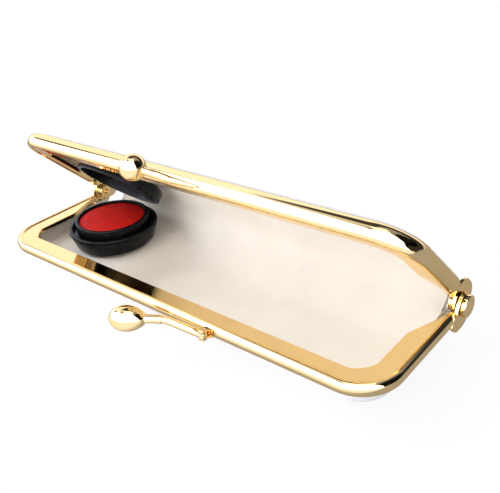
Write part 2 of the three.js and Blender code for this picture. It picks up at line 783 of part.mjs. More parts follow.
const inkBox = new THREE.Group();
inkBox.position.set(padX, padY, -padBottom);
inkBox.add(
  piece('pad_base', padBase(), 'black'),
  piece('ink_cup', inkCup(), 'tin'),
  piece('ink_pad', inkPad(), 'ink'),
  piece('pad_tape', disc(tapeRadius, -seatGap - tapeThick, -seatGap), 'foam'),
);
lower.add(inkBox);

const claspLever = new THREE.Group();
claspLever.add(
  piece('clasp_lever', lever(), 'gilt'),
  piece('egg_knob', eggKnob(), 'gilt'),
);
lower.add(claspLever);

const upper = new THREE.Group();
upper.add(
  piece('upper_frame', frame(upperHalf, earJog), 'gilt'),
  piece('upper_cover', skin(upperHalf, 0, coverThick), 'cover'),
  piece('upper_board', skin(upperHalf, boardOffset, boardThick), 'board'),
  piece('upper_lining', skin(upperHalf, liningOffset, liningThick), 'lining'),
  piece('upper_crimp_cord', crimpCord(upperHalf), 'paper'),
  piece('ball_horn', horn(), 'gilt'),
  piece('ball_knob', ballKnob(), 'gilt'),
);
const lidBox = new THREE.Group();
lidBox.position.set(padX, padY, 0);
lidBox.add(
  piece('pad_lid', padLid(), 'black'),
  piece('lid_liner', disc(lidRadius - lidWall - 0.9, lidTop - lidWall - seatGap - linerThick,
    lidTop - lidWall - seatGap), 'black'),
  piece('lid_foam', disc(foamRadius, lidTop + seatGap, upperDepth - insideOffset - seatGap), 'foam'),
);
upper.add(lidBox);
upper.rotation.x = -openAngle * degrees;

const hinge = new THREE.Group();
hinge.position.set(0, -crownY, hingeHeight);
hinge.add(lower, upper);

const sealCase = new THREE.Group();
sealCase.add(hinge);

export default sealCase;
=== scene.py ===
import json
import math

import bmesh
import bpy
from mathutils import Matrix, Vector


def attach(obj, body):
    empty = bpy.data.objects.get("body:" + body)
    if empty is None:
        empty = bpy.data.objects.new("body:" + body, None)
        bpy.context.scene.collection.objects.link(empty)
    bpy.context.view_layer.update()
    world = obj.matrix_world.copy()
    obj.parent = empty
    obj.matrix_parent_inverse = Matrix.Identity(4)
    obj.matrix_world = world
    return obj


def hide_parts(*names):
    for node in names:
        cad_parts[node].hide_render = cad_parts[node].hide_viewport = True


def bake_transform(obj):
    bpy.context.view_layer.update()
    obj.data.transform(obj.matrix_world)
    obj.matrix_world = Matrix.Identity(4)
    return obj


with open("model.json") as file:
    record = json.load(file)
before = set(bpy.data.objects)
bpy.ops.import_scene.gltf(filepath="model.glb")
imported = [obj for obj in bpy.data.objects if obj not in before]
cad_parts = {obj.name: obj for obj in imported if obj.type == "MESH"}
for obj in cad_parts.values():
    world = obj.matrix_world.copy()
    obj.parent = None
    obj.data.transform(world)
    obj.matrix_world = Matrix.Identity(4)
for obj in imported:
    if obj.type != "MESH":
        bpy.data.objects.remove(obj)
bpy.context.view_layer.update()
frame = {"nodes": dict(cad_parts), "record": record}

print("stage: frame loaded,", len(frame["nodes"]), "nodes")

# Shapes are drawn in millimetres about the hinge axis, heights counted off the mating plane.
mm = 0.001
snap = 1e-4  # points this close are one
case = {
    "length": 105,
    "depth": 30.7,  # hinge axis to the frame's front
    "corner": 8.4,
    "hinge": (0, 12.925, 11.3),
    "open": 45,
    "sheet": 0.55,
    "gap": 0.15,  # mating plane to each frame
    "flangeTop": 0.45,
    "back": 3.2,  # the halves reach this far behind the axis
    "relief": 4.0,  # the cloth is cut down to this height round the hinge
}
halfLength = case["length"] / 2
front = -case["depth"]
padAt = (-33.5, -11.4)  # the ink pad's middle
hingeAxis = Vector(case["hinge"]) * mm
toMetres = Matrix.Translation(hingeAxis) @ Matrix.Scale(mm, 4)
lowerPlace = toMetres @ Matrix.Diagonal((1, 1, -1, 1))
upperPlace = toMetres @ Matrix.Rotation(-math.radians(case["open"]), 4, "X")
# Each point of an ear's outline is (behind the axis, height, rounding).
lowerHalf = {
    "wall": 3.3, "flange": 4.7, "depth": 11.3, "flank": 9.3, "fullness": 1.5, "jog": 0,
    "ear": [(-4, 0.5, 0), (-4.9, 2.3, 0), (-3.3, 4.6, 1.2), (1.2, 4.6, 1.5), (2.6, 2.2, 1.1), (2.45, -1, 0.85),
            (0.95, -2.4, 0.8), (-0.95, -2.4, 0.8), (-2.4, -1, 0.8), (-2.9, 0.45, 0)],
}
upperHalf = {
    "wall": 3.75, "flange": 5.2, "depth": 6.4, "flank": 12, "fullness": 1.25, "jog": 0.85,
    "ear": [(-4, 0.5, 0), (-3.4, 2.75, 0), (-1.7, 4.9, 1.2), (2.9, 4.9, 1.55), (4.2, 2.5, 1.1), (4, 0.6, 0.75),
            (2, -1.45, 0.75), (0.9, -2.4, 0.65), (-0.95, -2.4, 0.8), (-2.3, -1.1, 0.8), (-2.9, 0.45, 0)],
}


def lerp(a, b, t):
    return a + (b - a) * t


def smooth(t):
    t = min(max(t, 0), 1)
    return t * t * (3 - 2 * t)


def arc(cx, cz, radius, start, end, steps):
    angles = [math.radians(lerp(start, end, i / steps)) for i in range(steps + 1)]
    return [(cx + radius * math.cos(a), cz + radius * math.sin(a)) for a in angles]


# Materials. In each finish a noise is (scale, detail, stretch), a bump is (metres, strength),
# shine is the spread of roughness and stops are the colours along the noise.

def material(name, colour, roughness, metallic=0.0):
    made = bpy.data.materials.new(name)
    made.use_nodes = True
    shader = made.node_tree.nodes["Principled BSDF"]
    shader.inputs["Base Color"].default_value = (*colour, 1)
    shader.inputs["Roughness"].default_value = roughness
    shader.inputs["Metallic"].default_value = metallic
    return made, made.node_tree, shader


def coordinates(tree, kind="Object"):
    return tree.nodes.new("ShaderNodeTexCoord").outputs[kind]


def noise(tree, source, scale, detail, stretch=(1, 1, 1)):
    mapping = tree.nodes.new("ShaderNodeMapping")
    mapping.inputs["Scale"].default_value = stretch
    texture = tree.nodes.new("ShaderNodeTexNoise")
    texture.inputs["Scale"].default_value = scale
    texture.inputs["Detail"].default_value = detail
    tree.links.new(source, mapping.inputs["Vector"])
    tree.links.new(mapping.outputs["Vector"], texture.inputs["Vector"])
    return texture.outputs["Fac"]


def between(tree, source, low, high, reach=(0, 1)):
    node = tree.nodes.new("ShaderNodeMapRange")
    node.interpolation_type = "SMOOTHSTEP"
    node.inputs["From Min"].default_value = reach[0]
    node.inputs["From Max"].default_value = reach[1]
    node.inputs["To Min"].default_value = low
    node.inputs["To Max"].default_value = high
    tree.links.new(source, node.inputs["Value"])
    return node.outputs["Result"]


def across(tree, source, way):
    node = tree.nodes.new("ShaderNodeVectorMath")
    node.operation = "DOT_PRODUCT"
    node.inputs[1].default_value = way
    tree.links.new(source, node.inputs[0])
    return node.outputs["Value"]


def mixed(tree, kind, first, second):
    node = tree.nodes.new("ShaderNodeMath")
    node.operation = kind
    tree.links.new(first, node.inputs[0])
    if isinstance(second, float):
        node.inputs[1].default_value = second
    else:
        tree.links.new(second, node.inputs[1])
    return node.outputs["Value"]


def coloured(tree, shader, source, stops):
    node = tree.nodes.new("ShaderNodeValToRGB")
    ends = node.color_ramp.elements
    ends[0].position, ends[0].color = stops[0][0], (*stops[0][1], 1)
    ends[1].position, ends[1].color = stops[-1][0], (*stops[-1][1], 1)
    for place, colour in stops[1:-1]:
        node.color_ramp.elements.new(place).color = (*colour, 1)
    tree.links.new(source, node.inputs["Fac"])
    tree.links.new(node.outputs["Color"], shader.inputs["Base Color"])


def roughened(tree, shader, source, shine):
    tree.links.new(between(tree, source, *shine), shader.inputs["Roughness"])


def bump(tree, shader, height, distance, strength):
    node = tree.nodes.new("ShaderNodeBump")
    node.inputs["Distance"].default_value = distance
    node.inputs["Strength"].default_value = strength
    tree.links.new(height, node.inputs["Height"])
    tree.links.new(node.outputs["Normal"], shader.inputs["Normal"])


# Over and under threads, read from the cloth's own UV map, which is in metres.
threadShape = {"metre": 0.314, "waver": 0.6, "detail": 1}  # the wave's scale for a thread a metre wide


def weave(tree, pitch):
    threads = []
    for axis in ("X", "Y"):
        wave = tree.nodes.new("ShaderNodeTexWave")
        wave.bands_direction = axis
        wave.inputs["Scale"].default_value = threadShape["metre"] / pitch
        wave.inputs["Distortion"].default_value = threadShape["waver"]
        wave.inputs["Detail"].default_value = threadShape["detail"]
        tree.links.new(coordinates(tree, "UV"), wave.inputs["Vector"])
        threads.append(wave.outputs["Fac"])
    return mixed(tree, "MULTIPLY", *threads)


giltFinish = {
    "colour": (0.88, 0.66, 0.33), "roughness": 0.07, "shine": (0.02, 0.06), "grazing": (1, 0.86, 0.62, 1),
    "stops": ((0.3, (0.865, 0.63, 0.29)), (0.7, (0.88, 0.66, 0.33))),
    "clouds": (60, 4), "scuffs": (900, 2, (1, 3, 3)), "bump": (0.00002, 0.15),
}
gilt, tree, shader = material("lightGilt", giltFinish["colour"], giltFinish["roughness"], 1.0)
place = coordinates(tree)
clouds = noise(tree, place, *giltFinish["clouds"])
roughened(tree, shader, noise(tree, place, *giltFinish["scuffs"]), giltFinish["shine"])
coloured(tree, shader, clouds, giltFinish["stops"])
bump(tree, shader, clouds, *giltFinish["bump"])
shader.inputs["Specular Tint"].default_value = giltFinish["grazing"]

clothFinish = {
    "roughness": 0.85, "mottle": (90, 4), "shades": ((0.3, 0.93), (0.7, 1.0)), "bump": (0.000035, 0.6),
    "sheen": 0.12, "sheenRoughness": 0.4, "specular": 0.25,
}
coverFinish = {"colour": (0.80, 0.79, 0.84), "thread": 0.00035}
liningFinish = {"colour": (0.945, 0.905, 0.85), "thread": 0.00022}


def cloth(name, look):
    made, tree, shader = material(name, look["colour"], clothFinish["roughness"])
    mottle = noise(tree, coordinates(tree), *clothFinish["mottle"])
    coloured(tree, shader, mottle, [
        (at, tuple(part * shade for part in look["colour"])) for at, shade in clothFinish["shades"]
    ])
    bump(tree, shader, mixed(tree, "ADD", weave(tree, look["thread"]), mottle), *clothFinish["bump"])
    shader.inputs["Sheen Weight"].default_value = clothFinish["sheen"]
    shader.inputs["Sheen Roughness"].default_value = clothFinish["sheenRoughness"]
    shader.inputs["Specular IOR Level"].default_value = clothFinish["specular"]
    return made


coverCloth = cloth("paleCoverCloth", coverFinish)
liningCloth = cloth("creamLiningCloth", liningFinish)

inkFinish = {
    "colour": (0.66, 0.013, 0.009), "roughness": 0.6, "shine": (0.45, 0.7), "specular": 0.12,
    "stops": ((0.3, (0.46, 0.008, 0.008)), (0.5, (0.66, 0.013, 0.009)), (0.72, (0.8, 0.032, 0.012))),
    "wet": (900, 5), "soaked": (110, 2), "thread": 0.0003, "bump": (0.00008, 0.6),
}
inkCloth, tree, shader = material("vermilionInkCloth", inkFinish["colour"], inkFinish["roughness"])
wet, soaked = (noise(tree, coordinates(tree), *inkFinish[key]) for key in ("wet", "soaked"))
coloured(tree, shader, mixed(tree, "ADD", *(mixed(tree, "MULTIPLY", part, 0.5) for part in (wet, soaked))),
         inkFinish["stops"])
roughened(tree, shader, wet, inkFinish["shine"])
bump(tree, shader, mixed(tree, "ADD", weave(tree, inkFinish["thread"]), wet), *inkFinish["bump"])
shader.inputs["Specular IOR Level"].default_value = inkFinish["specular"]

plasticFinish = {
    "colour": (0.012, 0.014, 0.017), "roughness": 0.25, "shine": (0.16, 0.32), "specular": 0.14,
    "stops": ((0.35, (0.003, 0.0037, 0.0042)), (0.7, (0.0065, 0.0078, 0.0088))),
    "smears": (500, 3), "clouds": (120, 3), "grain": (1600, 2), "bump": (0.00001, 0.3),
}
blackPlastic, tree, shader = material("blackPlastic", plasticFinish["colour"], plasticFinish["roughness"])
smears, clouds, grain = (
    noise(tree, coordinates(tree), *plasticFinish[key]) for key in ("smears", "clouds", "grain")
)
roughened(tree, shader, smears, plasticFinish["shine"])
coloured(tree, shader, clouds, plasticFinish["stops"])
bump(tree, shader, grain, *plasticFinish["bump"])
shader.inputs["Specular IOR Level"].default_value = plasticFinish["specular"]

tinFinish = {"colour": (0.7, 0.71, 0.73), "roughness": 0.3, "shine": (0.2, 0.4), "strokes": (700, 2, (1, 1, 8))}
tin, tree, shader = material("tinPlate", tinFinish["colour"], tinFinish["roughness"], 1.0)
roughened(tree, shader, noise(tree, coordinates(tree), *tinFinish["strokes"]), tinFinish["shine"])

foamFinish = {"colour": (0.84, 0.82, 0.77), "roughness": 0.9, "cells": (2500, 3), "bump": (0.00008, 0.7)}
foam, tree, shader = material("paleFoam", foamFinish["colour"], foamFinish["roughness"])
bump(tree, shader, noise(tree, coordinates(tree), *foamFinish["cells"]), *foamFinish["bump"])

boardFinish = {
    "colour": (0.46, 0.4, 0.31), "roughness": 0.9,
    "stops": ((0.3, (0.36, 0.31, 0.24)), (0.7, (0.52, 0.46, 0.37))),
    "fibres": (800, 5, (1, 4, 4)), "bump": (0.00005, 0.6),
}
greyBoard, tree, shader = material("greyBoard", boardFinish["colour"], boardFinish["roughness"])
fibres = noise(tree, coordinates(tree), *boardFinish["fibres"])
coloured(tree, shader, fibres, boardFinish["stops"])
bump(tree, shader, fibres, *boardFinish["bump"])

paperFinish = {
    "colour": (0.6, 0.5, 0.32), "roughness": 0.9, "twist": (1500, 3, (4, 1, 1)), "bump": (0.00008, 0.8),
}
paperCord, tree, shader = material("twistedPaper", paperFinish["colour"], paperFinish["roughness"])
bump(tree, shader, noise(tree, coordinates(tree), *paperFinish["twist"]), *paperFinish["bump"])

nodeFinish = {
    "gilt": gilt, "cover_cloth": coverCloth, "board": greyBoard, "lining_cloth": liningCloth,
    "paper_cord": paperCord, "black_plastic": blackPlastic, "tin": tin, "red_ink": inkCloth,
    "foam": foam,
}
for part in frame["record"]["subparts"]:
    node = frame["nodes"][part["node"]]
    node.data.materials.clear()
    node.data.materials.append(nodeFinish[part["material_slot"]])
print("stage: materials made")


# Making pieces

def finished(name, bm, place, body, surface, nodes, crease, uv=False):
    bm.transform(place)
    bm.normal_update()
    bmesh.ops.recalc_face_normals(bm, faces=bm.faces)
    if uv:
        layer = bm.loops.layers.uv.new("clothMetres")
        for face in bm.faces:
            flat = max(range(3), key=lambda k: abs(face.normal[k]))
            a, b = [k for k in range(3) if k != flat]
            for loop in face.loops:
                loop[layer].uv = (loop.vert.co[a], loop.vert.co[b])
    limit = math.radians(crease)
    for face in bm.faces:
        face.smooth = True
    for edge in bm.edges:
        edge.smooth = len(edge.link_faces) != 2 or edge.calc_face_angle(0) < limit
    mesh = bpy.data.meshes.new(name)
    bm.to_mesh(mesh)
    bm.free()
    piece = bpy.data.objects.new(name, mesh)
    bpy.context.scene.collection.objects.link(piece)
    mesh.materials.append(surface)
    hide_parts(*nodes)
    if body:
        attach(piece, body)
    return piece


def addTo(bm, other):
    mesh = bpy.data.meshes.new("joined")
    other.to_mesh(mesh)
    other.free()
    bm.from_mesh(mesh)
    bpy.data.meshes.remove(mesh)


def only(geometry, kind):
    return [part for part in geometry if isinstance(part, kind)]


# Points are (radius, height), turned round Z.
def spun(bm, points, steps):
    verts = [bm.verts.new((radius, 0, height)) for radius, height in points]
    edges = [bm.edges.new(pair) for pair in zip(verts, verts[1:])]
    bmesh.ops.spin(bm, geom=verts + edges, cent=(0, 0, 0), axis=(0, 0, 1), angle=2 * math.pi,
                   steps=steps, use_merge=True)
    bmesh.ops.remove_doubles(bm, verts=bm.verts, dist=snap)
    bmesh.ops.delete(bm, geom=[edge for edge in bm.edges if edge.is_wire], context="EDGES")


def bevelled(bm, geom, affect, offset, segments, clamp=False):
    bmesh.ops.bevel(bm, geom=geom, offset=offset, offset_type="OFFSET", segments=segments, profile=0.5,
                    affect=affect, clamp_overlap=clamp, material=-1)


# Frames: the folded section is pushed along the arm, spun round the corner and mirrored.
bandShape = {
    "start": 3.1, "bead": 1.4, "lip": 0.9, "edge": 1.2, "curlRound": 1.95, "curlTurn": 76,
    "lipRound": 0.25, "stepInside": 0.12, "stepOutside": 0.14,
    "flapFrom": 0.4, "flapBelow": 0.1,  # the flange, whose width changes along the arm, is past these
    "armFlange": 5.0, "endFlange": 1.7, "taper": (3.8, 12.5), "jogRun": (4.2, 6.0),
    "armStops": (3.8, 4.2, 4.5, 4.8, 5.1, 5.4, 5.7, 6, 7, 8, 9, 10, 11, 12, 12.5, 14, 17),
    "cornerExtra": 0.45, "cornerSteps": 28, "frontStops": (34, 24, 14, 7, 0),
    "earProud": 0.03, "earEdge": 0.1, "crease": 28,
}


def bandSection(half):
    shape, top, gap, sheet = bandShape, case["flangeTop"], case["gap"], case["sheet"]
    wide, bead, lipEnd = shape["armFlange"], shape["bead"], top + shape["lip"]
    lipRound, inside, outside = shape["lipRound"], shape["stepInside"], shape["stepOutside"]
    curl, turn = shape["curlRound"], shape["curlTurn"]
    middle = half["wall"] - curl * math.sin(math.radians(turn))
    return [
        (wide - sheet, lipEnd), (wide, lipEnd),
        *arc(wide - lipRound, top + lipRound, lipRound, 0, -90, 4),
        *arc(bead + outside, top - inside, inside, 90, 180, 3),
        *arc(bead - inside, gap + outside, outside, 0, -90, 4),
        *arc(shape["edge"], gap + shape["edge"], shape["edge"], 270, 180, 10),
        *arc(curl, middle, curl, 180, 180 - turn, 12),
        *arc(curl, middle, curl - sheet, 180 - turn, 180, 6),
        (sheet, top + sheet), (wide - sheet, top + sheet),
    ]


def frameBand(name, half, place, body, node):
    shape, wide = bandShape, bandShape["armFlange"]
    section = bandSection(half)
    bm = bmesh.new()
    flap = bm.verts.layers.float.new("flap")
    ring = [bm.verts.new((halfLength - inward, -shape["start"], height)) for inward, height in section]
    bm.faces.new(ring)
    flapTop = half["wall"] - case["sheet"] - shape["flapBelow"]
    for vert, (inward, height) in zip(ring, section):
        vert[flap] = 1 if inward > shape["bead"] + shape["flapFrom"] and height < flapTop else 0
    edges = list({edge for vert in ring for edge in vert.link_edges})

    def flangeAt(stop):
        low, high = shape["taper"]
        return lerp(shape["endFlange"], wide, min(max((stop - low) / (high - low), 0), 1))

    def jogAt(stop):
        low, high = shape["jogRun"]
        return half["jog"] * (1 - smooth((stop - low) / (high - low)))

    def step(edges):
        grown = bmesh.ops.extrude_edge_only(bm, edges=edges)["geom"]
        return only(grown, bmesh.types.BMVert), only(grown, bmesh.types.BMEdge)

    for vert in ring:
        vert.co.x -= jogAt(shape["start"]) + vert[flap] * (flangeAt(shape["start"]) - wide)
    last = shape["start"]
    for stop in (*shape["armStops"], case["depth"] - case["corner"]):
        verts, edges = step(edges)
        for vert in verts:
            vert.co.y = -stop
            vert.co.x -= jogAt(stop) - jogAt(last) + vert[flap] * (flangeAt(stop) - flangeAt(last))
        last = stop
    centre = Vector((halfLength - case["corner"], front + case["corner"], 0))
    quarter = math.pi / 2
    was = wide
    for i in range(1, shape["cornerSteps"] + 1):
        t = i / shape["cornerSteps"]
        width = lerp(wide, half["flange"], t) + shape["cornerExtra"] * math.sin(math.pi * t)
        verts, edges = step(edges)
        bmesh.ops.rotate(bm, verts=verts, cent=centre,
                         matrix=Matrix.Rotation(-quarter / shape["cornerSteps"], 3, "Z"))
        inward = Vector((-math.cos(quarter * t), math.sin(quarter * t), 0))
        for vert in verts:
            vert.co += inward * vert[flap] * (width - was)
        was = width
    for stop in shape["frontStops"]:
        verts, edges = step(edges)
        for vert in verts:
            vert.co.x = stop
    bmesh.ops.mirror(bm, geom=bm.verts[:] + bm.edges[:] + bm.faces[:], matrix=Matrix.Identity(4),
                     merge_dist=snap, axis="X")
    for side in (-1, 1):
        hingeEar(bm, half, side)
    finished(name, bm, place, body, gilt, [node], shape["crease"])


# Ear: its flat outline, thickened, on the arm's end.
def hingeEar(bm, half, side):
    proud = bandShape["earProud"]
    outer = side * (halfLength - half["jog"] + proud)
    ear = bmesh.new()
    verts = [ear.verts.new((outer, y, z)) for y, z, _ in half["ear"]]
    ear.faces.new(verts)
    for vert, (_, _, turn) in zip(verts, half["ear"]):
        if turn:
            bevelled(ear, [vert], "VERTICES", turn, 6)
    rim = ear.edges[:]
    grown = bmesh.ops.extrude_face_region(ear, geom=ear.faces[:], use_keep_orig=True)["geom"]
    for vert in only(grown, bmesh.types.BMVert):
        vert.co.x -= side * (case["sheet"] + 2 * proud)
    bevelled(ear, rim, "EDGES", bandShape["earEdge"], 3)
    addTo(bm, ear)


frameBand("lowerFrameBand", lowerHalf, lowerPlace, "lower", "lower_frame")
frameBand("upperFrameBand", upperHalf, upperPlace, "upper", "upper_frame")
print("stage: frames made")


# Cloth: rounded rings from the rim to the flat, bridged, with the relief round the hinge cut
# away and a strip spun about the hinge between the two halves.
dishShape = {
    "inset": 1.65, "skirt": 0.1, "backFlank": 8, "backCorner": 3.0, "crownCorner": 4.0,
    "rim": 1.5, "steps": 12, "cornerSegments": 10,
    "rowGap": 0.05, "rimGap": 0.3, "skirtGap": 0.1,  # the least room between rows
    "crossCuts": range(-48, 49, 3), "longCuts": (-24, -18, -12),
}


def dishProfile(half, offset):
    shape = dishShape
    start = half["wall"] + shape["skirt"]
    inset, rim = shape["inset"], shape["rim"]
    rows = [(inset, inset, rim, 0), (inset, inset, start, 0)]
    for i in range(1, shape["steps"] + 1):
        angle = math.pi / 2 * i / shape["steps"]
        inwards = 1 - max(math.cos(angle), 0) ** (2 / half["fullness"])
        down = math.sin(angle) ** (2 / half["fullness"])
        rows.append((inset + half["flank"] * inwards, inset + shape["backFlank"] * inwards,
                     start + (half["depth"] - start) * down, i / shape["steps"]))
    moved = []
    for i, (near, behind, height, share) in enumerate(rows):
        less = lessBack = offset
        drop = 0
        if i == len(rows) - 1:
            less, lessBack, drop = 0, 0, offset
        elif i > 1:
            before, after = rows[i - 1], rows[i + 1]
            rise = after[2] - before[2]
            run = math.hypot(after[0] - before[0], rise)
            less, drop = offset * rise / run, offset * (after[0] - before[0]) / run
            lessBack = offset * rise / math.hypot(after[1] - before[1], rise)
        moved.append([near + less, behind + lessBack, height - drop, share, less, lessBack])
    # An inner surface meets its straight skirt further along the flank than the outer one does.
    kept = [moved[0], moved[1]]
    for row in moved[2:]:
        if row[0] > moved[1][0] + shape["rowGap"] and row[2] > moved[0][2] + shape["rimGap"]:
            row[1] = max(row[1], moved[1][1] + shape["rowGap"])
            kept.append(row)
    kept[1][2] = min(kept[1][2], kept[2][2] - shape["skirtGap"])
    return kept


def ringAt(bm, near, behind, height, frontTurn, backTurn):
    right, low, high = halfLength - near, front + near, case["back"] + dishShape["inset"] - behind
    corners = [(right, low), (right, high), (-right, high), (-right, low)]
    verts = [bm.verts.new((x, y, height)) for x, y in corners]
    bm.faces.new(verts)
    known = set(bm.verts) - set(verts)
    for vert, turn in zip(verts, (frontTurn, backTurn, backTurn, frontTurn)):
        bevelled(bm, [vert], "VERTICES", turn, dishShape["cornerSegments"], True)
    ring = [v for v in bm.verts if v not in known]
    edges = list({e for v in ring for e in v.link_edges if all(w in set(ring) for w in e.verts)})
    face = next(f for v in ring for f in v.link_faces)
    return edges, face


def dish(half, offset):
    bm = bmesh.new()
    last, faces = None, []
    for near, behind, height, share, less, lessBack in dishProfile(half, offset):
        frontTurn = lerp(case["corner"] - dishShape["inset"], dishShape["crownCorner"], share) - less
        backTurn = lerp(dishShape["backCorner"], dishShape["crownCorner"], share) - lessBack
        edges, face = ringAt(bm, near, behind, height, frontTurn, backTurn)
        if last:
            bmesh.ops.bridge_loops(bm, edges=last + edges)
        last = edges
        faces.append(face)
    bmesh.ops.delete(bm, geom=faces[:-1], context="FACES_ONLY")
    return bm


def cutAt(bm, point, normal):
    geom = bm.verts[:] + bm.edges[:] + bm.faces[:]
    bmesh.ops.bisect_plane(bm, geom=geom, dist=snap, plane_co=point, plane_no=normal)


def cutRelief(bm, begin):
    high = case["relief"]
    cutAt(bm, (0, -begin, 0), (0, 1, 0))
    cutAt(bm, (0, 0, high), (0, 0, 1))
    out = [f for f in bm.faces if f.calc_center_median().z < high and f.calc_center_median().y > -begin]
    bmesh.ops.delete(bm, geom=out, context="FACES")


# The bend behind the hinge is softened, less so beside the ink pad, which stands close to it.
bendShape = {
    "steps": 12, "endGap": 0.2, "slack": 0.01, "rimSpan": 0.3, "rimReach": 0.6, "weld": 0.02,
    "softEnd": 0.5, "softFront": 9, "softReach": 5.5, "padShare": 0.15, "padEnd": -21, "padRun": 9,
    "blendReach": 2.4,
}


def softShare(x):
    return lerp(bendShape["padShare"], 1, smooth((x - bendShape["padEnd"]) / bendShape["padRun"]))


# Both halves and the cloth behind the hinge, as one sheet.
def caseCloth(name, shape, surface, nodes, shapeIt=None):
    whole = bmesh.new()
    for half, place in ((lowerHalf, lowerPlace), (upperHalf, upperPlace)):
        bm = dish(half, shape["offset"])
        for x in dishShape["crossCuts"]:
            cutAt(bm, (x, 0, 0), (1, 0, 0))
        for y in dishShape["longCuts"]:
            cutAt(bm, (0, y, 0), (0, 1, 0))
        cutRelief(bm, shape["reliefStart"])
        if shapeIt and half is lowerHalf:
            shapeIt(bm)
        bm.transform(Matrix.Scale(1 / mm, 4) @ Matrix.Translation(-hingeAxis) @ place)
        addTo(whole, bm)
    bend = bendShape
    reach = halfLength - dishShape["inset"] - dishShape["backCorner"] - bend["endGap"]
    border = [e for e in whole.edges if e.is_boundary]
    backRim = [e for e in border if all(
        abs(v.co.x) < reach and v.co.y > 0 and v.co.z < -case["relief"] + bend["slack"] for v in e.verts)]
    low = backRim[0].verts[0].co
    radius = math.hypot(low.y, low.z)
    turn = 2 * math.acos(low.y / radius) - math.radians(case["open"])
    lowRim = {v for e in backRim for v in e.verts}
    highRim = {v for e in border for v in e.verts if abs(v.co.x) < reach + bend["rimSpan"] and v.co.y > 0
               and v not in lowRim and v.co.yz.length < radius + bend["rimReach"]}
    end = bmesh.ops.spin(whole, geom=backRim, cent=(0, 0, 0), axis=(1, 0, 0), angle=turn, steps=bend["steps"],
                         use_duplicate=False)["geom_last"]
    for vert in only(end, bmesh.types.BMVert):
        vert.co = min(highRim, key=lambda v: (v.co - vert.co).length).co
    bmesh.ops.remove_doubles(whole, verts=whole.verts, dist=bend["weld"])
    for i in range(shape["softening"]):
        near = [v for v in whole.verts if abs(v.co.x) < reach - bend["softEnd"] and v.co.y > -bend["softFront"]
                and v.co.yz.length < radius + bend["softReach"] and softShare(v.co.x) * shape["softening"] > i]
        bmesh.ops.smooth_vert(whole, verts=near, factor=0.5, use_axis_y=True, use_axis_z=True)
    piece = finished(name, whole, toMetres, None, surface, nodes, shape["crease"], uv=True)
    shell = piece.modifiers.new("thickness", "SOLIDIFY")
    shell.thickness = shape["thickness"] * mm
    shell.offset = shape["side"]
    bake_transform(piece)


# Each sheet is drawn on the side that is seen, and its thickness goes towards the board.
coverSheet = {
    "offset": 0, "thickness": 0.4, "side": -1, "flat": (0.114, 0.092), "reliefStart": 6.2, "softening": 6,
    "crease": 40,
}
caseCloth("coverCloth", coverSheet, coverCloth, ["lower_cover", "upper_cover", "spine_cover"])

liningSheet = {
    "offset": 1.65, "thickness": 0.2, "side": 1, "flat": (0.110, 0.082), "reliefStart": 0.8, "softening": 70,
    "crease": 40,
}
seat = {
    "top": 4.95, "rampEnd": 9.8, "cuts": range(-26, -12),
    "rampStart": 10.5, "rampRun": 8,  # counted from the pad's middle
}


def raiseSeat(bm):
    for x in seat["cuts"]:
        cutAt(bm, (x, 0, 0), (1, 0, 0))
    for vert in bm.verts:
        t = (vert.co.x - padAt[0] - seat["rampStart"]) / seat["rampRun"]
        limit = lerp(seat["top"], seat["rampEnd"], smooth(t))
        if vert.co.z > limit:
            vert.co.z = limit


caseCloth("liningCloth", liningSheet, liningCloth,
          ["lower_lining", "upper_lining", "spine_lining", "pad_seat"], raiseSeat)
print("stage: cloth made")


# Ink pad: its base, the ink's cloth in it and the lid, all turned
turnSteps = 96
base = {
    "bottom": -4.35, "radius": 10.85, "rim": 4.45, "wall": 0.85, "groove": 1.1, "floor": 1.4,
    "collar": 8.95, "collarWall": 0.75, "collarHeight": 6.25,
    "footIn": 1.7, "footRound": 0.6, "shoulder": 0.35, "shoulderDrop": 0.75,
    "rimRound": 0.3, "rimInside": 0.12, "collarRound": 0.2, "collarInside": 0.15, "crease": 35,
}
padPlace = toMetres @ Matrix.Translation((*padAt, base["bottom"]))
wide, rim, collar, high = (base[key] for key in ("radius", "rim", "collar", "collarHeight"))
foot, shoulder, edge, inside = (base[key] for key in ("footRound", "shoulder", "rimRound", "rimInside"))
bore = collar - base["collarWall"]
bm = bmesh.new()
spun(bm, [
    (0, 0), (wide - base["footIn"], 0),
    *arc(wide - base["footIn"], foot, foot, -90, -20, 4),
    *arc(wide - shoulder, rim - base["shoulderDrop"], shoulder, -10, 0, 2),
    *arc(wide - edge, rim - edge, edge, 0, 90, 5),
    *arc(wide - base["wall"] + inside, rim - inside, inside, 90, 180, 3),
    (wide - base["wall"], rim - base["groove"]), (collar, rim - base["groove"]),
    *arc(collar - base["collarRound"], high - base["collarRound"], base["collarRound"], 0, 90, 4),
    *arc(bore + base["collarInside"], high - base["collarInside"], base["collarInside"], 90, 180, 4),
    (bore, base["floor"]), (0, base["floor"]),
], turnSteps)
finished("padBaseMoulding", bm, padPlace, "lower", blackPlastic, ["pad_base"], base["crease"])

ink = {
    "play": 0.06, "drop": 0.55, "crown": 0.45, "bottom": 2.0, "hem": 0.45, "hemDrop": 1.35,
    "round": 0.4, "roundDrop": 0.3, "rings": (0.9, 0.75, 0.55, 0.3), "crease": 50,
}
wide, top = bore - ink["play"], high - ink["drop"]
bm = bmesh.new()
spun(bm, [
    (0, ink["bottom"]), (wide - ink["hem"], ink["bottom"]),
    (wide - ink["hem"], high - ink["hemDrop"]), (wide, high - ink["hemDrop"]),
    *arc(wide - ink["round"], top - ink["roundDrop"], ink["round"], 0, 60, 4),
    *[(wide * k, top + ink["crown"] * math.sqrt(1 - k * k)) for k in ink["rings"]],
    (0, top + ink["crown"]),
], turnSteps)
finished("inkPadCloth", bm, padPlace, "lower", inkCloth, ["ink_pad"], ink["crease"], uv=True)

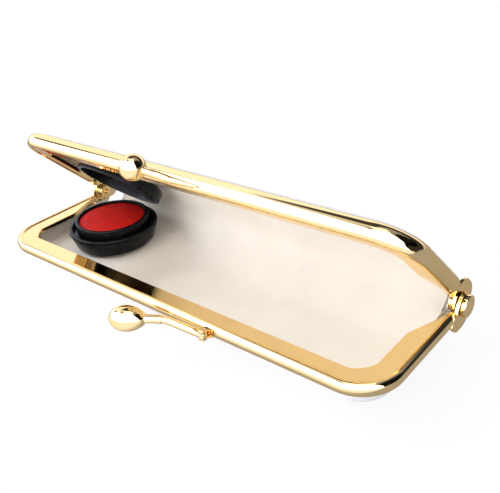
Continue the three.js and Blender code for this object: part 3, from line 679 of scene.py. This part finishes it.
lid = {
    "radius": 10.7, "top": 3.65, "wall": 0.9, "round": 1.3, "rim": 0.45, "rimInside": 0.12, "rimOutside": 0.15,
    "ceilingRound": 0.4, "crease": 35,
}
wide, top, wall, rim = (lid[key] for key in ("radius", "top", "wall", "rim"))
inside, outside, turn, ceiling = (lid[key] for key in ("rimInside", "rimOutside", "round", "ceilingRound"))
bm = bmesh.new()
spun(bm, [
    *arc(wide - wall + inside, rim + inside, inside, 180, 270, 3),
    *arc(wide - outside, rim + outside, outside, -90, 0, 3),
    *arc(wide - turn, top - turn, turn, 0, 90, 8),
    (0, top), (0, top - wall),
    *arc(wide - wall - ceiling, top - wall - ceiling, ceiling, 90, 0, 4),
    (wide - wall, rim + inside),
], turnSteps)
finished("padLidMoulding", bm, upperPlace @ Matrix.Translation((*padAt, 0)), "upper", blackPlastic,
         ["pad_lid"], lid["crease"])
print("stage: ink pad made")


# Rivets and washers, turned about X through the ears
rivet = {
    "shank": 1.0, "head": 2.2, "height": 1.25, "flare": 1.75, "flareThick": 0.5, "hole": 0.65, "deep": 1.1,
    "earGap": 0.3, "play": 0.15, "flareRound": 0.25, "edge": 0.1, "headRound": 0.3,
    "rings": (0.92, 0.75, 0.5, 0.25), "steps": 64, "crease": 35,
}
washer = {"radius": 2.0, "bore": 1.15, "thick": 0.4, "round": 0.1}
earInside = halfLength - 2 * case["sheet"] - rivet["earGap"]
seatAt = halfLength + rivet["play"]
flareOuter = earInside - washer["thick"] - 2 * rivet["play"]
flareInner = flareOuter - rivet["flareThick"]
shank, head, tall, flare, hole = (rivet[key] for key in ("shank", "head", "height", "flare", "hole"))
roll, edge, dome = rivet["flareRound"], rivet["edge"], rivet["headRound"]
rivetProfile = [
    (0, flareInner + rivet["deep"]), (hole, flareInner + rivet["deep"]), (hole, flareInner + roll),
    *arc(hole + roll, flareInner + roll, roll, 180, 270, 4),
    *arc(flare - roll, flareInner + roll, roll, -90, 0, 4),
    (flare - edge, flareOuter), (shank, flareOuter), (shank, seatAt),
    (head - edge, seatAt), (head, seatAt + edge),
    *arc(head - dome, seatAt + tall - 2 * dome, dome, 0, 60, 5),
    *[((head - dome) * k, seatAt + tall - dome * k * k * k) for k in rivet["rings"]],
    (0, seatAt + tall),
]
wide, bore, edge = washer["radius"], washer["bore"], washer["round"]
washerOuter = earInside - rivet["play"]
washerInner = washerOuter - washer["thick"]
washerProfile = [
    (bore, washerOuter), (bore, washerInner),
    *arc(wide - edge, washerInner + edge, edge, -90, 0, 3),
    *arc(wide - edge, washerOuter - edge, edge, 0, 90, 3),
    (bore, washerOuter),
]
for side, word in ((1, "right"), (-1, "left")):
    turned = toMetres @ Matrix.Rotation(side * math.pi / 2, 4, "Y")
    for name, profile, node in (
        ("RivetTurned", rivetProfile, "_rivet"),
        ("WasherTurned", washerProfile, "_washer"),
    ):
        bm = bmesh.new()
        spun(bm, profile, rivet["steps"])
        finished(word + name, bm, turned, "lower", gilt, [word + node], rivet["crease"])
print("stage: rivets made")


# Clasp
def rod(bm, points, radii, sides=24):
    ring = bmesh.ops.create_circle(bm, cap_ends=True, radius=1, segments=sides)["verts"]
    edges = list({e for v in ring for e in v.link_edges})
    centre, aim, width = Vector((0, 0, 0)), Vector((0, 0, 1)), 1.0
    for i, (point, radius) in enumerate(zip(points, radii)):
        point = Vector(point)
        after = Vector(points[min(i + 1, len(points) - 1)]) - Vector(points[max(i - 1, 0)])
        if i:
            grown = bmesh.ops.extrude_edge_only(bm, edges=edges)["geom"]
            ring, edges = only(grown, bmesh.types.BMVert), only(grown, bmesh.types.BMEdge)
        turn = aim.rotation_difference(after.normalized()).to_matrix().to_4x4()
        bmesh.ops.transform(bm, verts=ring, matrix=Matrix.Translation(point) @ turn
                            @ Matrix.Scale(radius / width, 4) @ Matrix.Translation(-centre))
        centre, aim, width = point, after.normalized(), radius
    bm.faces.new(sorted(ring, key=lambda v: turnAround(v, centre, aim)))


def turnAround(vert, centre, aim):
    side = aim.orthogonal().normalized()
    arm = vert.co - centre
    return math.atan2(arm.dot(aim.cross(side)), arm.dot(side))


def bezier(points, steps):
    done = []
    for i in range(steps + 1):
        t = i / steps
        row = [Vector(p) for p in points]
        while len(row) > 1:
            row = [a.lerp(b, t) for a, b in zip(row, row[1:])]
        done.append(row[0])
    return done


def aimed(at, way):
    return Matrix.Translation(at) @ Vector((0, 0, 1)).rotation_difference(way).to_matrix().to_4x4()


ball = {"radius": 2.73, "at": (-6.2, front - 3.3, 0.63), "segments": (48, 32), "crease": 60}
horn = {
    "radius": 0.78, "tip": 8.5, "height": 0.95, "elbow": (1.4, 0.7, 0.1), "root": 0.25, "rise": 2,
    "landing": 5.5, "landingDrop": 0.1, "run": (-2, -0.1, -0.1), "clear": 0.15, "sunk": 0.45,
    "bendSteps": 8, "footStops": (0.2, 0.4, 0.6, 0.8, 0.93, 1), "thickPoints": 7,
    "taper": (0.97, 0.93, 0.87, 0.79, 0.71, 0.62, 0.53, 0.45, 0.2), "crease": 50,
}
ballAt = Vector(ball["at"])
elbow = ballAt + Vector((ball["radius"], 0, 0)) + Vector(horn["elbow"])
ballAim = (ballAt - elbow).normalized()
land = Vector((horn["tip"] - horn["landing"], front - horn["radius"] - horn["clear"],
               horn["height"] - horn["landingDrop"]))
foot = Vector((horn["tip"], front - horn["radius"] * horn["sunk"] - horn["clear"], horn["height"]))

bm = bmesh.new()
bmesh.ops.create_uvsphere(bm, u_segments=ball["segments"][0], v_segments=ball["segments"][1],
                          radius=ball["radius"], matrix=aimed(ballAt, ballAim))
finished("ballPolished", bm, upperPlace, "upper", gilt, ["ball_knob"], ball["crease"])

bm = bmesh.new()
points = [ballAt - ballAim * (ball["radius"] - horn["root"])]
points += bezier([elbow, elbow - horn["rise"] * ballAim, land + Vector(horn["run"]), land], horn["bendSteps"])
points += [land.lerp(foot, t) for t in horn["footStops"]]
rod(bm, points, [horn["radius"]] * horn["thickPoints"] + [horn["radius"] * k for k in horn["taper"]])
finished("hornTapered", bm, upperPlace, "upper", gilt, ["ball_horn"], horn["crease"])

pinAt = Vector((16.2, front - 1.4, -1.35))
egg = {
    "radius": 2.7, "length": 7.9, "at": (-0.2, front - 5.4, -1.5), "neck": 1.1, "rows": 24,
    "slim": 0.8, "fullAt": 0.72, "steps": 48, "crease": 60,
}
lever = {
    "bend": (6.4, front - 1.8, -1.35), "bendRun": 1.6, "bendSteps": 8, "root": 0.6, "stemStops": (0.4, 0.8),
    "stem": 0.88, "wire": 0.76, "stepAt": 3, "stepRun": (-0.04, 0.02, 0.06), "stepEdge": 0.04,
    "eyeStops": (2.2, 1.6, 1.0, 0.5), "flatFrom": 0.9, "flatRun": 1.3, "flatLess": 0.01, "flatRoom": 1.2,
    "eye": 0.9, "eyeThick": 1.1, "bore": 0.52, "boreRound": 0.08, "eyeRound": 0.15, "steps": 40, "crease": 50,
}
eggAt, bend = Vector(egg["at"]), Vector(lever["bend"])
eggAim = (eggAt - bend).normalized()
armAim = (bend - pinAt).normalized()
rows = []
for i in range(egg["rows"] + 1):
    angle = lerp(-math.acos(egg["neck"] / egg["radius"]), math.pi / 2, i / egg["rows"])
    along = math.sin(angle) / 2
    swell = lerp(egg["slim"], 1, math.sin(min(1, (along + 0.5) / egg["fullAt"]) * math.pi / 2))
    rows.append((egg["radius"] * swell * math.cos(angle) if i < egg["rows"] else 0, along * egg["length"]))
bm = bmesh.new()
spun(bm, [(0, rows[0][1])] + rows, egg["steps"])
finished("eggPolished", bm, toMetres @ aimed(eggAt, eggAim), "clasp", gilt, ["egg_knob"], egg["crease"])

bm = bmesh.new()
before, after = bend - armAim * lever["bendRun"], bend + eggAim * lever["bendRun"]
turns = bezier([after, bend, before], lever["bendSteps"])
start = eggAt - eggAim * (egg["length"] / 2 - lever["root"])
at = lever["stepAt"]
along = (turns[at + 1] - turns[at - 1]).normalized()
points = [start] + [start.lerp(turns[0], t) for t in lever["stemStops"]] + turns[:at]
radii = [lever["stem"]] * (len(points) + 1) + [lever["stem"] - lever["stepEdge"]]
points += [turns[at] + along * run for run in lever["stepRun"]] + turns[at + 1:]
points += [pinAt + armAim * run for run in lever["eyeStops"]]
rod(bm, points, radii + [lever["wire"]] * (len(points) - len(radii)))
half = lever["eyeThick"] / 2
for vert in bm.verts:  # the wire is hammered flat where it turns into its eye
    share = smooth(((vert.co - pinAt).to_2d().length - lever["flatFrom"]) / lever["flatRun"])
    room = lerp(half - lever["flatLess"], lever["flatRoom"], share)
    vert.co.z = pinAt.z + min(max(vert.co.z - pinAt.z, -room), room)
wide, bore, inner, outer = (lever[key] for key in ("eye", "bore", "boreRound", "eyeRound"))
eye = bmesh.new()
spun(eye, [
    (bore, half - inner), *arc(bore + inner, half - inner, inner, 180, 90, 3),
    *arc(wide - outer, half - outer, outer, 90, 0, 4), *arc(wide - outer, outer - half, outer, 0, -90, 4),
    *arc(bore + inner, inner - half, inner, -90, -180, 3), (bore, half - inner),
], lever["steps"])
bmesh.ops.translate(eye, verts=eye.verts, vec=pinAt)
addTo(bm, eye)
finished("leverWire", bm, toMetres, "clasp", gilt, ["clasp_lever"], lever["crease"])

bracket = {
    "tab": 0.75, "tabThick": 0.3, "play": 0.1, "tabEdge": 0.06, "tabRoundLess": 0.02,
    "foot": 0.3, "footLength": 2.2, "footShift": 0.4, "footCorner": 0.3, "clear": 0.15, "crease": 35,
}
pin = {
    "radius": 0.42, "head": 0.6, "headRound": 0.2, "headThick": 0.26, "play": 0.04, "steps": 40, "crease": 35,
}
tabInside = half + bracket["play"]
tall = tabInside + bracket["tabThick"]
wide, head, turn, play = (pin[key] for key in ("radius", "head", "headRound", "play"))
rise = pin["headThick"] - turn
bm = bmesh.new()
spun(bm, [
    (0, -tall - pin["headThick"]), *arc(head - turn, -tall - rise, turn, -90, 0, 4),
    (head, -tall - play), (wide, -tall - play), (wide, tall + play), (head, tall + play),
    *arc(head - turn, tall + rise, turn, 0, 90, 4), (0, tall + pin["headThick"]),
], pin["steps"])
finished("claspPinTurned", bm, toMetres @ Matrix.Translation(pinAt), "lower", gilt, ["clasp_pin"],
         pin["crease"])

# Bracket: a foot on the frame's face and two tabs round the pin.
footBack = front - bracket["clear"]
bm = bmesh.new()
bmesh.ops.create_cube(bm, size=1, matrix=Matrix.Translation(
    (pinAt.x + bracket["footShift"], footBack - bracket["foot"] / 2, pinAt.z))
    @ Matrix.Diagonal((bracket["footLength"], bracket["foot"], 2 * tall, 1)))
upright = [e for e in bm.edges if abs(e.verts[0].co.y - e.verts[1].co.y) > bracket["foot"] / 2]
bevelled(bm, upright, "EDGES", bracket["footCorner"], 5)
for way in (-1, 1):
    tab, size = bmesh.new(), bracket["tab"]
    verts = [tab.verts.new((pinAt.x + x * size, y, pinAt.z + way * tabInside)) for x, y in (
        (-1, footBack), (-1, pinAt.y - size), (1, pinAt.y - size), (1, footBack))]
    tab.faces.new(verts)
    for vert in verts[1:3]:
        bevelled(tab, [vert], "VERTICES", size - bracket["tabRoundLess"], 8)
    grown = bmesh.ops.extrude_face_region(tab, geom=tab.faces[:], use_keep_orig=True)["geom"]
    bmesh.ops.translate(tab, verts=only(grown, bmesh.types.BMVert), vec=(0, 0, way * bracket["tabThick"]))
    bevelled(tab, tab.edges[:], "EDGES", bracket["tabEdge"], 2, True)
    addTo(bm, tab)
finished("claspBracketFolded", bm, toMetres, "lower", gilt, ["clasp_bracket"], bracket["crease"])
print("stage: clasp made")


# Camera, fitted to the photo
view = {
    "at": (0.09275, -0.08745, 0.08395), "azimuth": 42.45, "elevation": 28.933, "roll": -5.731,
    "sensor": 36, "focus": 675.15 / 500,  # focal length as a share of the picture's width
    "clip": (0.005, 20),
}
a, e, r = (math.radians(view[key]) for key in ("azimuth", "elevation", "roll"))
back = Vector((math.sin(a) * math.cos(e), -math.cos(a) * math.cos(e), math.sin(e)))
right = (-back).cross(Vector((0, 0, 1))).normalized()
up = right.cross(-back)
sideways = right * math.cos(r) + up * math.sin(r)
upwards = -right * math.sin(r) + up * math.cos(r)
camera = bpy.data.objects.new("camera", bpy.data.cameras.new("camera"))
camera.data.sensor_width = view["sensor"]
camera.data.lens = view["focus"] * view["sensor"]
camera.data.clip_start, camera.data.clip_end = view["clip"]
camera.matrix_world = Matrix.Translation(view["at"]) @ Matrix((sideways, upwards, back)).transposed().to_4x4()
bpy.context.scene.collection.objects.link(camera)
bpy.context.scene.camera = camera


# Floor: white to the camera, and in reflections it glows pale in front of the case, with painted shade that
# makes it darker close to the case
def mixShader(tree, share, first, second):
    node = tree.nodes.new("ShaderNodeMixShader")
    tree.links.new(share, node.inputs["Fac"])
    tree.links.new(first, node.inputs[1])
    tree.links.new(second, node.inputs[2])
    return node.outputs["Shader"]


glossTint = (0.94, 0.97, 1.17, 1)
ground = {
    "size": 3, "colour": (0.95, 0.95, 0.95), "roughness": 0.9,
    # the glossy glow runs from painted shade near the case (0.4) to pale in front (1.4) over this reach
    "glow": {"Is Camera Ray": 0.9, "Is Glossy Ray": 0.85}, "gloss": (0.4, 1.4), "paintedShadeReach": (0.02, 0.034),
}
bm = bmesh.new()
bmesh.ops.create_grid(bm, x_segments=1, y_segments=1, size=ground["size"])
mesh = bpy.data.meshes.new("floor")
bm.to_mesh(mesh)
bm.free()
floor = bpy.data.objects.new("floor", mesh)
bpy.context.scene.collection.objects.link(floor)
paleFloor, tree, shader = material("paleFloor", ground["colour"], ground["roughness"])
path = tree.nodes.new("ShaderNodeLightPath")
end = shader.outputs["BSDF"]
for ray, amount in ground["glow"].items():
    glow = tree.nodes.new("ShaderNodeEmission")
    if ray == "Is Glossy Ray":
        # painted shade: what reflections see of the floor's glow is dimmer close to the case
        out = across(tree, coordinates(tree), (0, -1, 0))
        tree.links.new(between(tree, out, *ground["gloss"], ground["paintedShadeReach"]), glow.inputs["Strength"])
        glow.inputs["Color"].default_value = glossTint
    share = mixed(tree, "MULTIPLY", path.outputs[ray], amount)
    end = mixShader(tree, share, end, glow.outputs["Emission"])
tree.links.new(end, tree.nodes["Material Output"].inputs["Surface"])
mesh.materials.append(paleFloor)

# World: plain light, and for the gilt to reflect a bright tent in front, a backdrop behind, a
# dark gap and a dim ceiling over each, and a dark side on the right. The camera sees white.
studio = {
    "white": (1, 1, 1, 1), "fill": 0.5, "dark": 0.05,
    "openSide": (-0.184, -0.983, 0), "tent": 3.6, "tentEdge": (-0.03, 0.03),
    "backdrop": (1.5, 0.8), "backdropTurn": (-0.2, 0.5), "backdropEdge": (-0.1, -0.02),
    # the way that each top leans, where its dark gap begins and ends, and its ceiling's share of light
    "tentTop": ((-0.5, 0.45, 1), (0.79, 0.81), (0.93, 0.96), 0.25),
    "backdropTop": ((0.5, 0.2, 1), (0.48, 0.56), (0.9, 0.96), 0.4),
    "darkSide": ((0.75, 0.27, 0.6), (0.885, 0.92), 0.04),
}
world = bpy.data.worlds.new("studio")
world.use_nodes = True
tree = world.node_tree
plain = tree.nodes["Background"]
plain.inputs["Color"].default_value = studio["white"]
plain.inputs["Strength"].default_value = studio["fill"]
way = coordinates(tree, "Generated")
tent = between(tree, across(tree, way, studio["openSide"]), 0.0, studio["tent"], studio["tentEdge"])
sides = between(tree, across(tree, way, (1, 0, 0)), *studio["backdrop"], studio["backdropTurn"])
behind = between(tree, across(tree, way, (0, 1, 0)), 0.0, 1.0, studio["backdropEdge"])
backdrop = mixed(tree, "MULTIPLY", sides, behind)
shaded = []
for light, (lean, begins, ends, ceiling) in ((tent, studio["tentTop"]), (backdrop, studio["backdropTop"])):
    rise = across(tree, way, lean)
    below = between(tree, rise, 1.0, studio["dark"], begins)
    above = between(tree, rise, studio["dark"], ceiling, ends)
    shaded.append(mixed(tree, "MULTIPLY", light, mixed(tree, "MAXIMUM", below, above)))
lean, edge, dark = studio["darkSide"]
gloss = tree.nodes.new("ShaderNodeBackground")
gloss.inputs["Color"].default_value = glossTint
tree.links.new(mixed(tree, "MULTIPLY", mixed(tree, "MAXIMUM", *shaded),
                     between(tree, across(tree, way, lean), 1.0, dark, edge)), gloss.inputs["Strength"])
white = tree.nodes.new("ShaderNodeBackground")
white.inputs["Color"].default_value = studio["white"]
path = tree.nodes.new("ShaderNodeLightPath")
end = plain.outputs["Background"]
for ray, seen in (("Is Glossy Ray", gloss), ("Is Camera Ray", white)):
    end = mixShader(tree, path.outputs[ray], end, seen.outputs["Background"])
tree.links.new(end, tree.nodes["World Output"].inputs["Surface"])
bpy.context.scene.world = world

lampAim = Vector((0, 0, 0.01))
lamps = {
    "keyLamp": {"at": (-0.7, -0.575, 0.778), "size": 0.7, "power": 6.0, "gloss": True},
    "lowLamp": {"at": (-0.22, -0.87, 0.2), "size": 0.6, "power": 4.2, "gloss": False},
    "leftLamp": {"at": (-0.8, -0.25, 0.22), "size": 0.5, "power": 2.2, "gloss": False},
    "topLamp": {"at": (0.1, -0.12, 0.8), "size": 0.5, "power": 1.3, "gloss": True},
    "backLamp": {"at": (-0.3, 0.7, 0.6), "size": 0.6, "power": 1.9, "gloss": False},
}
for name, lamp in lamps.items():
    light = bpy.data.lights.new(name, "AREA")
    light.size = lamp["size"]
    light.energy = lamp["power"]
    holder = bpy.data.objects.new(name, light)
    holder.location = lamp["at"]
    holder.rotation_mode = "QUATERNION"
    holder.rotation_quaternion = (Vector(lamp["at"]) - lampAim).to_track_quat("Z", "Y")
    holder.visible_glossy = lamp["gloss"]
    bpy.context.scene.collection.objects.link(holder)
bpy.context.scene.view_settings.view_transform = "Standard"
print("stage: studio made")
